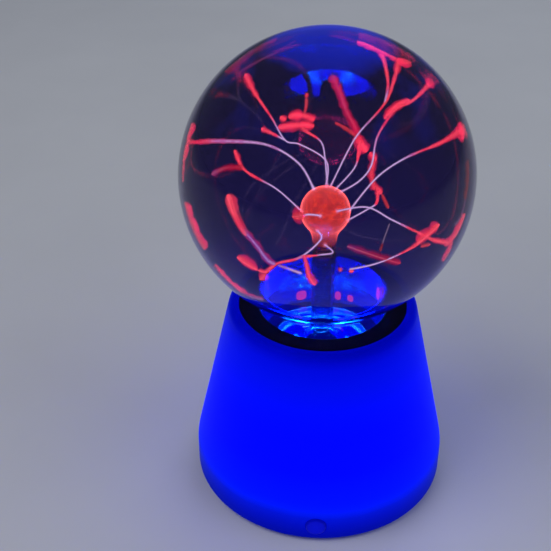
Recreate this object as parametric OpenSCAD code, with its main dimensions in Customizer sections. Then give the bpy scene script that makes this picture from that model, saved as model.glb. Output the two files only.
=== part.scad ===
// Plasma ball: a blown glass globe with a red-lit centre electrode, standing in a
// luminous one-piece base with a push button at the front.
// Millimetres. Origin at the centre of the footprint, +Z up, the button faces -Y.

/* [Globe] */
// Outer radius of the glass globe
globe_r = 75; // [74:0.5:76]
// Height of the globe's centre above the rim of the base
globe_rise = 76; // [75.5:0.5:78]
// Thickness of the glass
glass_wall = 1.8; // [1.4:0.1:2]
// Outer radius of the globe's neck
neck_r = 35; // [34.8:0.1:35.1]
// Radius of the blend between the globe and its neck
neck_blend = 6; // [5:0.5:7]
// How far the neck reaches below the rim of the base
neck_depth = 24; // [24:0.5:24.5]

/* [Centre electrode] */
// Outer radius of the glass ball on the stem
bulb_r = 12.5; // [12:0.25:13.5]
// Height of the ball's centre above the rim of the base
bulb_rise = 56; // [52:1:60]
// Outer radius of the stem
stem_r = 6.25; // [6.2:0.05:6.5]
// Thickness of the stem's glass
stem_wall = 1.6; // [1.5:0.05:1.65]
// Radius of the taper from the ball to the stem
bulb_blend = 16; // [12:1:20]
// Radius of the trumpet where the stem meets its foot
foot_blend = 10; // [9:0.5:11]

/* [Base] */
// Height of the rim of the base
base_h = 112; // [111:0.5:113]
// Widest radius of the base, along its lower band
base_r = 71.5; // [71.4:0.1:72]
// Radius that the sloping side aims for at the rim
rim_r = 51; // [50.8:0.1:51.5]
// Height of the upright band at the foot of the base
band_h = 19.6; // [19:0.2:21]
// Thickness of the band
band_wall = 3.4; // [3.3:0.05:3.4]
// Rounding of the rim
rim_round = 4.5; // [4:0.25:5]
// Rounding of the edge between the side and the band
side_round = 30; // [20:5:40]
// Height of the rubber feet under the shell
foot_gap = 1.2; // [1:0.1:1.4]

/* [Collar] */
// Outer radius of the black collar ring
collar_r = 45.8; // [45.4:0.1:46]
// Thickness of the collar ring above the deck
collar_t = 3; // [2.8:0.1:3.2]

/* [Push button] */
// Radius of the button cap
button_r = 5.8; // [5.4:0.1:6]
// Height of the button's axis
button_z = 11.8; // [11.6:0.1:12]
// How far the button's face stands proud of the band
button_proud = 0.8; // [0.5:0.1:1]
// Travel of the button
button_travel = 1.5; // [1:0.1:1.5]

/* [Lighting] */
// Number of LEDs on each side of the ring board
led_count = 12; // [8:1:16]

/* [Hidden] */
$fn = 96;
eps = 0.01;

// Heights that follow from the driving dimensions
globe_z = base_h + globe_rise;
bulb_z = base_h + bulb_rise;
neck_z = base_h - neck_depth;
foot_t = stem_wall;
foot_z = neck_z - foot_t;
bulb_wall = 1.2;
bore_r = stem_r - stem_wall;

// Vacuum tip under the foot of the stem
tip_place = [0, -20];
tip_r = 2.5;
tip_bore_r = 1.1;
tip_len = 9;

// Rubber plug that closes the stem and carries the high-voltage lead
plug_flange_r = 8.5;
plug_flange_h = 3.2;
plug_gap = 0.2;
plug_len = 5.3;
plug_z = foot_z - plug_gap - plug_flange_h;
wool_r = bulb_r - bulb_wall - 0.2;
spring_wire_r = 0.4;
spring_pitch = 2.6;
spring_z0 = plug_z + plug_flange_h + plug_len + 0.5;
spring_z1 = bulb_z - wool_r - 0.5;

// Rim, deck and collar
deck_z = base_h - collar_t;
deck_t = 2.5;
deck_bore_r = neck_r + 2.2;
collar_seat_r = collar_r + 0.3;
skirt_h = 5;

// Holder that carries the globe under the deck
pad_t = 3;
holder_clear = 0.6;
holder_wall = 2.4;
holder_z0 = foot_z - pad_t - 2.8;
holder_z1 = deck_z - skirt_h - 0.2;
holder_r = neck_r + holder_clear + holder_wall;
holder_ledge_r = 24;
flange_t = 2.5;
flange_r = 47.2;
holder_screw_at = 43;
holder_angles = [90, 210, 330];

// Shell and bottom plate
shell_z = foot_gap;
inner_r = base_r - band_wall;
deck_under_z = deck_z - deck_t;
side_slope = (base_r - rim_r) / (base_h - band_h);
inner_top_r = rim_r + side_slope * (base_h - deck_under_z) - 3;
plate_z = 1.6;
plate_t = 2.4;
plate_top = plate_z + plate_t;
plate_r = inner_r - 0.3;
plate_screw_at = 62.6;
plate_angles = [45, 135, 225, 315];
foot_at = 55;
foot_r = 7;
foot_recess = 1;

// Screw sizes: shank radius, head radius and head height
screw_r = 1.3;
head_r = 2.8;
head_h = 1.8;
pilot_r = 1.35;

// Ring board with the LEDs
ring_outer = 35;
ring_inner = 13;
board_t = 1.6;
ring_z = holder_z0 - 16.2;
ring_post_at = 31;
led_at = 20;
led_w = 5;
led_h = 1.6;

// Driver board
driver_r = 46;
driver_z = 12;
driver_top = driver_z + board_t;
driver_screw_at = 40;
driver_angles = [60, 150, 240, 330];

// Transformer, standing on the driver board
core_w = 28;
core_d = 10;
core_leg = 8;
core_window = 18;
core_x = -28;
coil_x = core_x + core_leg / 2;
core_h = core_window + 2 * core_leg;
window_z = driver_top + core_leg;

// Heat sink and transistor
sink_at = [10, -26];
sink_w = 20;
sink_h = 23;
sink_plate = 2;
sink_fin = 5;
tab_x = 20;
tab_hole_z = 30;

// Switch behind the button, and the power inlet at the back
flange_front = -67.3;
flange_back = -66.1;
switch_front = -61.4;
switch_back = -54.6;
switch_w = 8;
cap_stem_r = 3.4;
cap_stem_end = switch_front - button_travel - 0.3;
plunger_w = 3;
plunger_front = -66.2;
plunger_back = -60.6;
well_depth = plunger_back - switch_front + button_travel + 1.3;
jack_z = 11.8;
jack_w = 9.2;
jack_h = 11;
jack_front = 67.6;
jack_back = 53.6;
jack_bore_r = 3.15;
jack_depth = 9.4;
jack_pin_r = 1;
inlet_r = 4.2;

// Board connectors: width, depth and height of a housing, with its pins side by side
plug_w = 7.5;
plug_d = 5.8;
plug_h = 6;
power_plug = [0, 40];
switch_plug = [-11, -38];
led_plug = [38, 10];
lead_z = driver_top + plug_h / 2;

// Routes of the leads, from one end to the other. Each end is straight for three points, so that
// it meets the face it goes into squarely.
hv_route = [[coil_x, 10.4, 34], [coil_x, 11.4, 34], [coil_x, 12.4, 34], [-22, 15, 40], [-18, 13, 50],
    [-8, 5, 62], [0, 0, plug_z - 5], [0, 0, plug_z - 2.5], [0, 0, plug_z]];
power_route = [[-1.5, jack_back, 11], [-1.5, 52.6, 11], [-1.5, 51.6, 11], [-1.5, 48.4, 13.6],
    [-1.5, 45.3, lead_z], [-1.5, 44.1, lead_z], [-1.5, 42.9, lead_z]];
switch_route_a = [[-4, -53, 15], [-4, -52, 15], [-4, -51, 15], [-8.4, -47.4, 16],
    [-12.5, -43.3, lead_z], [-12.5, -42.1, lead_z], [-12.5, -40.9, lead_z]];
switch_route_b = [[0, -53, 15], [0, -52, 15], [0, -51, 15], [-4.6, -47, 16],
    [-9.5, -43.3, lead_z], [-9.5, -42.1, lead_z], [-9.5, -40.9, lead_z]];
led_route = [[32, 8, ring_z], [32, 8, ring_z - 1.5], [32, 8, ring_z - 3], [38, 8.6, 50], [42, 9, 38], [40, 9, 27],
    [38, 9, driver_top + plug_h + 3], [38, 9, driver_top + plug_h + 1.5], [38, 9, driver_top + plug_h]];

// ---- helpers ----------------------------------------------------------------

function arc(c, r, a0, a1, n = 12) = [for (i = [0:n]) let (a = a0 + (a1 - a0) * i / n) c + r * [cos(a), sin(a)]];

// Catmull-Rom curve through a list of points, with n steps in each stretch
function spline(p, n) = [
    for (i = [0:len(p) - 2], s = [0:n - 1])
        let (t = s / n, a = p[max(i - 1, 0)], b = p[i], c = p[i + 1], d = p[min(i + 2, len(p) - 1)])
            0.5 * (2 * b + (c - a) * t + (2 * a - 5 * b + 4 * c - d) * t * t + (3 * b - a - 3 * c + d) * t * t * t),
    p[len(p) - 1]
];

function unit(v) = v / norm(v);
function heading(p, i) = unit(p[min(i + 1, len(p) - 1)] - p[max(i - 1, 0)]);
function across(h) = unit(cross(h, abs(h.x) < 0.8 ? [1, 0, 0] : [0, 1, 0]));

// Rings of points round a path, one ring at each point
function rings(p, r, sides) = [
    for (i = [0:len(p) - 1], k = [0:sides - 1])
        let (h = heading(p, i), u = across(h), v = cross(h, u), a = 360 * k / sides)
            p[i] + r * (cos(a) * u + sin(a) * v)
];

// Closed tube along a path
module tube_along(p, r, sides = 8) {
    last = (len(p) - 1) * sides;
    walls = [for (i = [0:len(p) - 2], k = [0:sides - 1])
        let (a = i * sides + k, b = i * sides + (k + 1) % sides) [a, a + sides, b + sides, b]];
    ends = [[for (k = [0:sides - 1]) k], [for (k = [sides - 1:-1:0]) last + k]];
    polyhedron(rings(p, r, sides), concat(walls, ends), convexity = 6);
}

module lead(route, r, steps = 5) tube_along(spline(route, steps), r);

module around(angles, radius) {
    for (a = angles)
        rotate([0, 0, a])
            translate([radius, 0, 0])
                children();
}

// Half-section of a ball on a tube with a smooth blend, inset by the thickness of a wall
module ball_on_tube(ball_r, ball_z, tube_r, tube_z, blend, inset) {
    blend_x = tube_r + blend;
    blend_z = ball_z - sqrt(pow(ball_r + blend, 2) - pow(blend_x, 2));
    intersection() {
        translate([0, ball_z])
            circle(ball_r - inset);
        translate([0, ball_z - ball_r])
            square([ball_r, 2 * ball_r]);
    }
    translate([0, tube_z])
        square([tube_r - inset, blend_z - tube_z + eps]);
    difference() {
        polygon([[0, blend_z], [blend_x, blend_z], [0, ball_z]]);
        translate([blend_x, blend_z])
            circle(blend + inset);
    }
}

// Half-section below the trumpet curve that joins a tube to a flat foot at height z
module trumpet(z, inset) {
    centre = [stem_r + foot_blend, z + foot_blend + foot_t];
    difference() {
        translate([0, z])
            square([centre.x, foot_blend + foot_t]);
        translate(centre)
            circle(foot_blend + inset);
    }
}

// Pan-head screw with a cross recess. The head stands on z = 0 and the shank points up.
module pan_screw(length, shank = screw_r, head = head_r, tall = head_h) {
    difference() {
        union() {
            translate([0, 0, -tall])
                cylinder(h = tall * 0.45, r1 = head * 0.78, r2 = head);
            translate([0, 0, -tall * 0.55])
                cylinder(h = tall * 0.55, r = head);
        }
        for (a = [0, 90])
            rotate([0, 0, a])
                translate([-head * 0.55, -0.35, -tall - 1])
                    cube([head * 1.1, 0.7, 1 + tall * 0.5]);
    }
    cylinder(h = length - shank, r = shank);
    translate([0, 0, length - shank])
        cylinder(h = shank, r1 = shank, r2 = 0.4);
}

// ---- glass ------------------------------------------------------------------

module glass_globe() color("lightblue", 0.3) rotate_extrude() difference() {
    ball_on_tube(globe_r, globe_z, neck_r, neck_z, neck_blend, 0);
    translate([0, -1])
        square([neck_r - glass_wall, neck_z + 2]);
    ball_on_tube(globe_r, globe_z, neck_r, neck_z, neck_blend, glass_wall);
}

// Foot, stem and ball are blown as one piece, open below so that the ball can be filled
module inner_electrode() color("orangered", 0.6) difference() {
    rotate_extrude() difference() {
        union() {
            ball_on_tube(bulb_r, bulb_z, stem_r, foot_z + foot_t, bulb_blend, 0);
            translate([0, foot_z])
                square([neck_r, foot_t]);
            trumpet(foot_z, 0);
        }
        ball_on_tube(bulb_r, bulb_z, stem_r - stem_wall + bulb_wall, foot_z - 1, bulb_blend, bulb_wall);
        trumpet(foot_z, foot_t);
    }
    translate([tip_place.x, tip_place.y, foot_z - 1])
        cylinder(h = foot_t + 2, r = tip_bore_r);
}

// Sealed stub of the tube through which the globe was pumped out and filled
module exhaust_tip() color("lightblue", 0.5)
    translate([tip_place.x, tip_place.y, foot_z]) difference() {
        union() {
            translate([0, 0, -tip_len + tip_r])
                cylinder(h = tip_len - tip_r, r = tip_r);
            translate([0, 0, -tip_len + tip_r])
                sphere(tip_r);
        }
        translate([0, 0, -tip_len + 2 * tip_r])
            cylinder(h = tip_len, r = tip_bore_r);
    }

// Wad of steel wool that spreads the voltage over the inside of the ball
module electrode_wool() color("dimgray")
    translate([0, 0, bulb_z])
        sphere(wool_r);

module contact_spring() {
    coil_r = bore_r - spring_wire_r - 0.35;
    turns = (spring_z1 - spring_z0) / spring_pitch;
    steps = 14;
    helix = [for (i = [0:floor(turns * steps)]) let (a = 360 * i / steps)
        [coil_r * cos(a), coil_r * sin(a), spring_z0 + spring_pitch * i / steps]];
    color("silver")
        tube_along(helix, spring_wire_r, 6);
}

module stem_plug() color([0.15, 0.15, 0.16]) {
    translate([0, 0, plug_z])
        cylinder(h = plug_flange_h, r1 = plug_flange_r - 2, r2 = plug_flange_r);
    translate([0, 0, plug_z + plug_flange_h - eps])
        cylinder(h = plug_len + eps, r = bore_r - 0.05);
}

// ---- rim of the base --------------------------------------------------------

// Rubber trim: a rounded ring on the deck with a skirt between the neck and the deck
module collar_ring() {
    edge = 1;
    bore = neck_r + 0.3;
    color([0.03, 0.03, 0.035]) rotate_extrude()
        polygon(concat(
            [[bore, deck_z - skirt_h], [deck_bore_r - 0.2, deck_z - skirt_h], [deck_bore_r - 0.2, deck_z],
                [collar_r, deck_z]],
            arc([collar_r - edge, base_h - edge], edge, 0, 90, 8),
            arc([bore + edge, base_h - edge], edge, 90, 180, 8)
        ));
}

module neck_pad() color("gray")
    translate([0, 0, foot_z - pad_t])
        difference() {
            cylinder(h = pad_t, r = neck_r);
            translate([0, 0, -1])
                cylinder(h = pad_t + 2, r = 26);
        }

// Cup that the neck stands in, screwed up against the deck, with posts for the ring board
module globe_holder() color("whitesmoke") {
    difference() {
        union() {
            translate([0, 0, holder_z0])
                cylinder(h = holder_z1 - holder_z0, r = holder_r);
            translate([0, 0, holder_z1 - flange_t])
                cylinder(h = flange_t, r = flange_r);
        }
        translate([0, 0, foot_z - pad_t])
            cylinder(h = holder_z1, r = neck_r + holder_clear);
        translate([0, 0, holder_z0 - 1])
            cylinder(h = holder_z1, r = holder_ledge_r);
        translate([0, 0, holder_z1 - flange_t - 1])
            around(holder_angles, holder_screw_at)
                cylinder(h = flange_t + 2, r = screw_r + 0.2);
    }
    around(holder_angles, ring_post_at)
        difference() {
            translate([0, 0, ring_z + board_t])
                cylinder(h = holder_z0 - ring_z - board_t + eps, r = 3);
            translate([0, 0, ring_z])
                cylinder(h = 10, r = pilot_r);
        }
}

module holder_screws() color("silver")
    translate([0, 0, holder_z1 - flange_t])
        around(holder_angles, holder_screw_at)
            pan_screw(6);

// ---- base -------------------------------------------------------------------

// Outline of the shell's wall: band, sloping side, rounded rim, collar seat and deck
module shell_section() {
    lean = atan(side_slope);
    rim_back = rim_round * tan((90 - lean) / 2);
    side_back = side_round * tan(lean / 2);
    toe = 3;
    polygon(concat(
        [[inner_r, shell_z]],
        arc([base_r - toe, shell_z + toe], toe, -90, 0, 8),
        arc([base_r - side_round, band_h - side_back], side_round, 0, lean, 8),
        arc([rim_r - rim_back, base_h - rim_round], rim_round, lean, 90, 12),
        [[collar_seat_r, base_h], [collar_seat_r, deck_z], [deck_bore_r, deck_z],
            [deck_bore_r, deck_under_z], [inner_top_r, deck_under_z], [inner_r, band_h]]
    ));
}

// Round post in the corner of the shell, tied to the wall by a rib, for a bottom screw
module shell_post() {
    post_h = 20;
    difference() {
        union() {
            translate([plate_screw_at, 0, plate_top])
                cylinder(h = post_h, r = 4);
            translate([plate_screw_at, -1, plate_top])
                cube([inner_r - plate_screw_at + 0.4, 2, post_h - 6]);
        }
        translate([plate_screw_at, 0, plate_top - 1])
            cylinder(h = 15, r = pilot_r);
    }
}

module base_shell() color("mediumblue") difference() {
    union() {
        rotate_extrude()
            shell_section();
        for (a = plate_angles)
            rotate([0, 0, a])
                shell_post();
        around(holder_angles, holder_screw_at)
            translate([0, 0, holder_z1])
                cylinder(h = deck_under_z - holder_z1 + eps, r = 3.8);
    }
    around(holder_angles, holder_screw_at)
        translate([0, 0, holder_z1 - 1])
            cylinder(h = 5.4, r = pilot_r);
    translate([0, -inner_r + 3, button_z])
        rotate([90, 0, 0])
            cylinder(h = 12, r = button_r + 0.3);
    translate([0, inner_r - 3, jack_z])
        rotate([-90, 0, 0])
            cylinder(h = 12, r = inlet_r);
}

// Bottom cover with vents, board posts, the guides of the switch board and the inlet's rest
module base_plate() color("whitesmoke") difference() {
    union() {
        translate([0, 0, plate_z])
            cylinder(h = plate_t, r = plate_r);
        translate([0, 0, plate_top - eps])
            around(driver_angles, driver_screw_at)
                cylinder(h = driver_z - plate_top + eps, r = 3.5);
        for (side = [-1, 1])
            translate([side * 10.6 - 2, switch_back - 1.5, plate_top - eps])
                cube([4, 4.6, 15]);
        translate([-jack_w / 2, jack_back, plate_top - eps])
            cube([jack_w, 12, jack_z - jack_h / 2 - plate_top + eps]);
    }
    translate([-10.2, switch_back - 0.1, plate_top])
        cube([20.4, board_t + 0.2, 20]);
    around(plate_angles, plate_screw_at) {
        cylinder(h = plate_top + 1, r = screw_r + 0.3);
        translate([0, 0, plate_z - 1])
            cylinder(h = 2.3, r = head_r + 0.3);
    }
    around(driver_angles, driver_screw_at)
        translate([0, 0, plate_top + 1])
            cylinder(h = 20, r = pilot_r);
    around([0:90:270], foot_at)
        translate([0, 0, plate_z - 1])
            cylinder(h = foot_recess + 1, r = foot_r + 0.1);
    around([0:30:330], 14)
        translate([0, -1.25, plate_z - 1])
            cube([15, 2.5, plate_t + 2]);
}

module plate_screws() color("silver")
    translate([0, 0, plate_z + 1.3])
        around(plate_angles, plate_screw_at)
            pan_screw(14, tall = 1.2);

module rubber_feet() color([0.1, 0.1, 0.1])
    around([0:90:270], foot_at) {
        cylinder(h = 0.6, r1 = foot_r - 0.8, r2 = foot_r);
        translate([0, 0, 0.6 - eps])
            cylinder(h = plate_z + foot_recess - 0.6 + eps, r = foot_r);
    }

// ---- lighting ---------------------------------------------------------------

module led_board() color("seagreen") difference() {
    translate([0, 0, ring_z])
        cylinder(h = board_t, r = ring_outer);
    translate([0, 0, ring_z - 1])
        cylinder(h = board_t + 2, r = ring_inner);
    translate([0, 0, ring_z - 1])
        around(holder_angles, ring_post_at)
            cylinder(h = board_t + 2, r = screw_r + 0.2);
}

module led_board_screws() color("silver")
    translate([0, 0, ring_z])
        around(holder_angles, ring_post_at)
            pan_screw(7);

// Surface-mount LED: a square body with a raised round lens
module led_chip() {
    translate([-led_w / 2, -led_w / 2, 0])
        cube([led_w, led_w, led_h]);
    translate([0, 0, led_h - eps])
        cylinder(h = 0.3 + eps, r = 1.9);
}

module globe_leds() color("deepskyblue")
    translate([0, 0, ring_z + board_t])
        around([15:360 / led_count:374], led_at)
            led_chip();

module base_leds() color("deepskyblue")
    translate([0, 0, ring_z])
        around([15:360 / led_count:374], led_at)
            rotate([180, 0, 0])
                led_chip();

// ---- driver -----------------------------------------------------------------

module driver_board() color("seagreen") difference() {
    translate([0, 0, driver_z])
        cylinder(h = board_t, r = driver_r);
    around(driver_angles, driver_screw_at)
        translate([0, 0, driver_z - 1])
            cylinder(h = board_t + 2, r = screw_r + 0.2);
}

module board_screws() color("silver")
    around(driver_angles, driver_screw_at)
        translate([0, 0, driver_top])
            rotate([180, 0, 0])
                pan_screw(7);

// Ferrite frame of the high-voltage transformer
module transformer_core() color([0.2, 0.2, 0.21])
    translate([core_x, -core_d / 2, driver_top]) difference() {
        cube([core_w, core_d, core_h]);
        translate([core_leg, -1, core_leg])
            cube([core_w - 2 * core_leg, core_d + 2, core_window]);
    }

// Bobbin on one leg of the core, with a flange between its two windings
module coil_bobbin() {
    flange = 11;
    z0 = window_z + 0.2;
    z1 = window_z + core_window - 0.2;
    middle = window_z + 6;
    color("tan") translate([coil_x, 0, 0]) rotate_extrude()
        polygon([[6.6, z0], [flange, z0], [flange, z0 + 1.2], [7.6, z0 + 1.2], [7.6, middle],
            [flange, middle], [flange, middle + 1.2], [7.6, middle + 1.2], [7.6, z1 - 1.2],
            [flange, z1 - 1.2], [flange, z1], [6.6, z1]]);
}

// Winding as a ring with one ridge for each visible turn
module winding(z0, z1, depth, turns) {
    wire = (z1 - z0) / turns / 2;
    outer = 7.6 + depth;
    translate([coil_x, 0, 0]) rotate_extrude() {
        translate([7.6, z0])
            square([depth - wire, z1 - z0]);
        for (i = [0:turns - 1])
            translate([outer - wire, z0 + wire * (2 * i + 1)])
                circle(wire, $fn = 24);
    }
}

module primary_coil() color("peru") winding(window_z + 1.4, window_z + 6, 1.8, 5);

module secondary_coil() color("saddlebrown") winding(window_z + 7.2, window_z + core_window - 1.4, 2.8, 9);

module heatsink() color("lightgray")
    translate([sink_at.x, sink_at.y, driver_top]) difference() {
        union() {
            cube([sink_w, sink_plate, sink_h]);
            for (i = [0:5])
                translate([i * (sink_w - 1.2) / 5, -sink_fin, 0])
                    cube([1.2, sink_fin + eps, sink_h]);
        }
        translate([tab_x - sink_at.x, -sink_fin - 1, tab_hole_z - driver_top])
            rotate([-90, 0, 0])
                cylinder(h = sink_fin + sink_plate + 2, r = 1.5);
    }

// Transistor in an upright package, its tab screwed to the heat sink
module power_transistor() {
    face = sink_at.y + sink_plate;
    color([0.12, 0.12, 0.13]) difference() {
        union() {
            translate([tab_x - 5, face, 17.6])
                cube([10, 4.5, 9.2]);
            translate([tab_x - 5, face, 26.8 - eps])
                cube([10, 1.3, 6.6]);
            for (i = [-1:1])
                translate([tab_x + 2.54 * i - 0.4, face + 2, driver_top])
                    cube([0.8, 0.5, 4 + eps]);
        }
        translate([tab_x, face - 1, tab_hole_z])
            rotate([-90, 0, 0])
                cylinder(h = 4, r = 1.8);
    }
}

module transistor_screw() color("silver")
    translate([tab_x, sink_at.y + sink_plate + 1.3, tab_hole_z])
        rotate([90, 0, 0])
            pan_screw(5);

module can(r, h) {
    cylinder(h = h - 0.6, r = r);
    translate([0, 0, h - 0.6])
        cylinder(h = 0.6, r1 = r, r2 = r - 0.6);
}

module electrolytic_capacitors() color("darkslateblue") {
    translate([24, 10, driver_top])
        can(5, 13);
    translate([30, -6, driver_top])
        can(4, 11);
}

module film_capacitor() color("firebrick")
    translate([-4.5, -36, driver_top])
        cube([13, 5, 10]);

// Eight-pin chip that times the pulses
module control_chip() color([0.1, 0.1, 0.1]) {
    translate([3, 24, driver_top + 0.6])
        cube([9.6, 6.4, 3.3]);
    for (i = [0:3], side = [0, 1])
        translate([3.6 + i * 2.54, 24 - 0.4 + side * 6.8, driver_top])
            cube([0.6, 0.4 + eps, 2.4]);
}

module resistors() color("burlywood")
    for (i = [0:3])
        translate([-16, 18 + i * 4, driver_top + 1.5]) {
            translate([2, 0, 0])
                rotate([0, 90, 0])
                    cylinder(h = 6, r = 1.15);
            rotate([0, 90, 0])
                cylinder(h = 10, r = 0.3);
            for (end = [0, 10])
                translate([end, 0, -1.5])
                    cylinder(h = 1.5 + 0.3, r = 0.3);
        }

// Housings that the leads plug into
module wire_connectors() color("ivory") {
    for (at = [power_plug, switch_plug])
        translate([at.x - plug_w / 2, at.y - plug_d / 2, driver_top])
            cube([plug_w, plug_d, plug_h]);
    translate([led_plug.x - plug_d / 2, led_plug.y - plug_w / 2, driver_top])
        cube([plug_d, plug_w, plug_h]);
}

// ---- button, switch and inlet -----------------------------------------------

// Cap with a domed face, a flange behind the wall and a square socket for the plunger
module power_button() color("mediumblue") {
    face = -base_r - button_proud;
    crown = 1.2;
    translate([0, 0, button_z]) rotate([90, 0, 0]) difference() {
        rotate_extrude()
            polygon(concat(
                [[0, -cap_stem_end], [cap_stem_r, -cap_stem_end], [cap_stem_r, -flange_back],
                    [button_r + 1.5, -flange_back], [button_r + 1.5, -flange_front], [button_r, -flange_front]],
                arc([button_r - crown, -face - crown], crown, 0, 90, 8),
                [[0, -face]]
            ));
        translate([-plunger_w / 2, -plunger_w / 2, -cap_stem_end - 1])
            cube([plunger_w, plunger_w, cap_stem_end - plunger_front + 1]);
    }
}

module switch_plunger() color("white")
    translate([-plunger_w / 2, plunger_front, button_z - plunger_w / 2])
        cube([plunger_w, plunger_back - plunger_front, plunger_w]);

module switch_body() color([0.15, 0.15, 0.16]) difference() {
    translate([-switch_w / 2, switch_front, button_z - switch_w / 2])
        cube([switch_w, switch_back - switch_front, switch_w]);
    translate([-plunger_w / 2 - 0.2, switch_front - 1, button_z - plunger_w / 2 - 0.2])
        cube([plunger_w + 0.4, 1 + well_depth, plunger_w + 0.4]);
}

module switch_board() color("seagreen")
    translate([-10, switch_back, plate_top])
        cube([20, board_t, 16]);

// Barrel inlet for the supply's plug
module dc_jack() color([0.1, 0.1, 0.1]) difference() {
    translate([-jack_w / 2, jack_back, jack_z - jack_h / 2])
        cube([jack_w, jack_front - jack_back, jack_h]);
    translate([0, jack_front - jack_depth, jack_z])
        rotate([-90, 0, 0])
            cylinder(h = jack_depth + 1, r = jack_bore_r);
}

module dc_jack_pin() color("gold")
    translate([0, jack_front - jack_depth, jack_z])
        rotate([-90, 0, 0]) {
            cylinder(h = jack_depth - 1.8, r = jack_pin_r);
            translate([0, 0, jack_depth - 1.8])
                cylinder(h = 0.6, r1 = jack_pin_r, r2 = jack_pin_r - 0.5);
        }

// ---- leads ------------------------------------------------------------------

module hv_lead() color("red") lead(hv_route, 1.4);

module power_leads() {
    color("crimson")
        lead(power_route, 0.8);
    color("crimson")
        translate([3, 0, 0])
            lead(power_route, 0.8);
}

module switch_leads() color("gold") {
    lead(switch_route_a, 0.7);
    lead(switch_route_b, 0.7);
}

module led_leads() color("dodgerblue") {
    lead(led_route, 0.7);
    translate([0, 3, 0])
        lead(led_route, 0.7);
}

// ---- nodes ------------------------------------------------------------------

glass_globe();
inner_electrode();
exhaust_tip();
electrode_wool();
contact_spring();
stem_plug();
collar_ring();
neck_pad();
globe_holder();
holder_screws();
base_shell();
base_plate();
plate_screws();
rubber_feet();
led_board();
led_board_screws();
globe_leds();
base_leds();
driver_board();
board_screws();
transformer_core();
coil_bobbin();
primary_coil();
secondary_coil();
power_transistor();
heatsink();
transistor_screw();
electrolytic_capacitors();
film_capacitor();
control_chip();
resistors();
wire_connectors();
power_button();
switch_plunger();
switch_body();
switch_board();
dc_jack();
dc_jack_pin();
hv_lead();
power_leads();
switch_leads();
led_leads();
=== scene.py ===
"""Plasma ball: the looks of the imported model, in metres and in the CAD frame."""

import math

import bmesh
import bpy
import numpy as np
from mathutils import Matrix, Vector, noise


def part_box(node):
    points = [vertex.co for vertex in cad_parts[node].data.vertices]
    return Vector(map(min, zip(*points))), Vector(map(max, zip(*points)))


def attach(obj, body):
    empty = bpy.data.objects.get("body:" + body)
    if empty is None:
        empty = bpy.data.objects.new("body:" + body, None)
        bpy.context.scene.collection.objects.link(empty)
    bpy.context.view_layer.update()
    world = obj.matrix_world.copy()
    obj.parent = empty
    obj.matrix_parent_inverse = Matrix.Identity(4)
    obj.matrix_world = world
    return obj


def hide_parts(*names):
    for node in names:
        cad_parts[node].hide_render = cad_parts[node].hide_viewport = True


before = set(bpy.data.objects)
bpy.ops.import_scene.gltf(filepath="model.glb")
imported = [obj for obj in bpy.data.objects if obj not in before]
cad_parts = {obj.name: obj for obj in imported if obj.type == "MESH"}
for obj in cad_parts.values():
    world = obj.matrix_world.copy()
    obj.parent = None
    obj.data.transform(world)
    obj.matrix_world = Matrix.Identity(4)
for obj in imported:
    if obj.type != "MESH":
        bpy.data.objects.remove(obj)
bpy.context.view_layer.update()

# ---- sizes, taken from the frame ---------------------------------------------

MM = 0.001

globe_low, globe_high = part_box("glass_globe")
GLOBE_R = globe_high.x
GLOBE_AT = Vector((0, 0, globe_high.z - GLOBE_R))
NECK_END = globe_low.z
GLOBE_WALL = 1.8 * MM
SKIN_R = GLOBE_R - GLOBE_WALL

foot_low, electrode_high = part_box("inner_electrode")
wool_low, wool_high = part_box("electrode_wool")
BALL_AT = (wool_low + wool_high) / 2
BALL_R = electrode_high.z - BALL_AT.z
FOOT_Z = foot_low.z
FOOT_R = electrode_high.x
NECK_R = FOOT_R

# Shapes that a box doesn't tell, as in the CAD source
NECK_BLEND = 6 * MM
STEM_R = 6.25 * MM
STEM_WALL = 1.6 * MM
BALL_WALL = 1.2 * MM
BALL_BLEND = 16 * MM
FOOT_BLEND = 10 * MM
FOOT_T = 1.6 * MM

shell_low, shell_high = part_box("base_shell")
button_low, button_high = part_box("power_button")
ring_low, ring_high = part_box("led_board")
RIM_Z = shell_high.z
LED_RING_R = 20 * MM
BUTTON_R = 5.8 * MM

# ---- camera, floor and lights ------------------------------------------------

CAMERA_AT = (0, -0.4721, 0.4392)
CAMERA_TILT = 56.56
CAMERA_PAN = 3.13
LENS = 68.6
SENSOR = 36.0


def add_camera():
    data = bpy.data.cameras.new("camera")
    data.lens = LENS
    data.sensor_width = SENSOR
    camera = bpy.data.objects.new("camera", data)
    camera.location = CAMERA_AT
    camera.rotation_euler = (math.radians(CAMERA_TILT), 0, math.radians(CAMERA_PAN))
    bpy.context.scene.collection.objects.link(camera)
    bpy.context.scene.camera = camera


def add_softbox(name, place, width, watts, colour, gloss):
    """A square area light that faces the middle of the lamp. Without gloss, the glass doesn't mirror it."""
    data = bpy.data.lights.new(name, "AREA")
    data.shape = "SQUARE"
    data.size = width
    data.energy = watts
    data.color = colour
    light = bpy.data.objects.new(name, data)
    light.location = place
    aim = Vector((0, 0, RIM_Z)) - Vector(place)
    light.rotation_euler = aim.to_track_quat("-Z", "Y").to_euler()
    light.visible_glossy = gloss
    light.visible_transmission = gloss
    bpy.context.scene.collection.objects.link(light)


def only_mirrored(light, mirror):
    """Hides a light from everything but the mirror piece's own reflections."""
    light.visible_camera = False
    light.visible_diffuse = False
    light.visible_transmission = False
    light.visible_volume_scatter = False
    mirrors = bpy.data.collections.new(light.name + "_mirror")
    mirrors.objects.link(mirror)
    light.light_linking.receiver_collection = mirrors


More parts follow.
